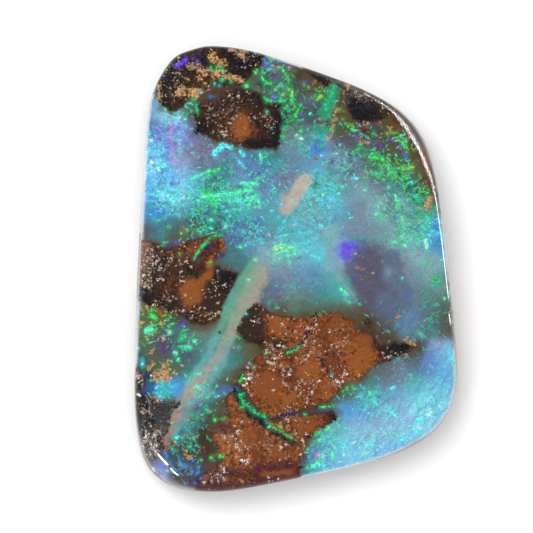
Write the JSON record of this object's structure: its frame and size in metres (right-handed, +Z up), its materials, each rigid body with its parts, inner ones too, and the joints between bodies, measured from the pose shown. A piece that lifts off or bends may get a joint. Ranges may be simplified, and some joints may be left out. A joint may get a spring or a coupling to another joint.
{
  "type": "polished freeform boulder opal",
  "caption": "Loose polished freeform stone of brown ironstone with a layer of blue-green opal, a low domed face and a flat back to rest on.",
  "frame": {"origin": "centre of the stone's outline, on the flat back that it rests on", "axes": "+Z up out of the polished face, +Y along the stone's length towards its narrow end, +X across it"},
  "size_m": [0.0216, 0.03, 0.0052],
  "materials": {
    "opal_and_ironstone": "polished"
  },
  "bodies": {
    "root": {"boulder_opal": "opal_and_ironstone"}
  },
  "joints": []
}
